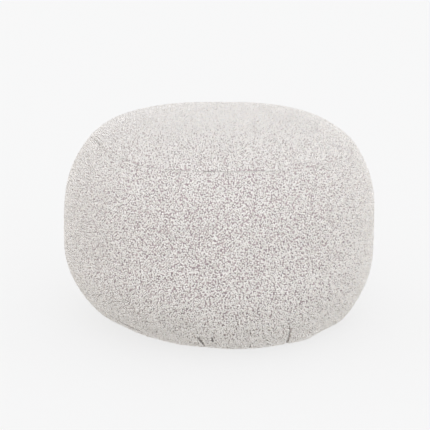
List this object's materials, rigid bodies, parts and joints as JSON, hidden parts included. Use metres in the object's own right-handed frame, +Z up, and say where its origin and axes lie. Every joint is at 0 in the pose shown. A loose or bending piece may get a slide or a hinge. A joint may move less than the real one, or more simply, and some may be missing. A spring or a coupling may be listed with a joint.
{
  "type": "pouf",
  "caption": "Squat, rounded drum-shaped pouf in curly loop-pile cloth: a low domed top panel, a full side band drawn in under the base, and a flat base.",
  "frame": {"origin": "on the floor, at the middle of the bounding box's underside", "axes": "+Z up, out of the crown; -Y towards the front, where the viewer stands; +X to the viewer's right. The body leans, so its base is centred 14 mm to +X of the origin"},
  "size_m": [0.521, 0.52, 0.35],
  "materials": {
    "loop_pile_cloth": "matt, nubby loop pile in off-white yarn, with soft grey shadow between the loops",
    "base_cloth": "matt, plain-woven grey base cloth"
  },
  "bodies": {
    "root": {"top_panel": "loop_pile_cloth", "side_band": "loop_pile_cloth", "base_panel": "base_cloth"}
  },
  "joints": []
}
